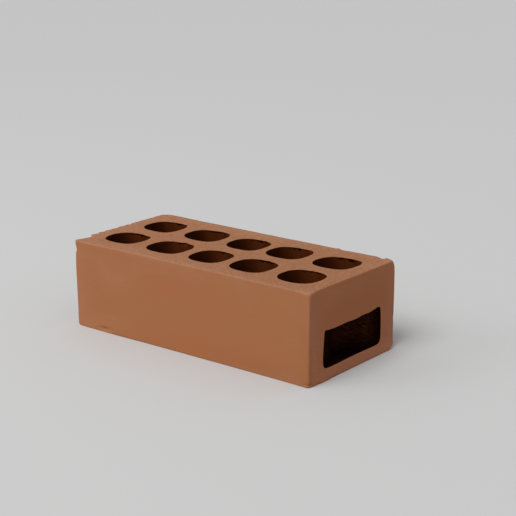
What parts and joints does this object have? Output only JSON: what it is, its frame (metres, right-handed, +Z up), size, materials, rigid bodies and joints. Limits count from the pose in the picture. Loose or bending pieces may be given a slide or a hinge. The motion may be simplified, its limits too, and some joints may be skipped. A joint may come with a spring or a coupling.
{
  "type": "perforated clay brick",
  "caption": "Perforated fired-clay facing brick lying on its bed, with through cores and a scooped pocket in one end face.",
  "frame": {"origin": "middle of the lower bed face, on the level surface that the brick lies on", "axes": "+X along the length, towards the end face with the pocket; +Y across the width; +Z up, along the cores"},
  "size_m": [0.215, 0.1024, 0.065],
  "materials": {
    "fired_clay": "matt unglazed fired clay, smooth on the die-formed sides and sandy on the wire-cut beds"
  },
  "bodies": {
    "root": {"brick": "fired_clay"}
  },
  "joints": []
}
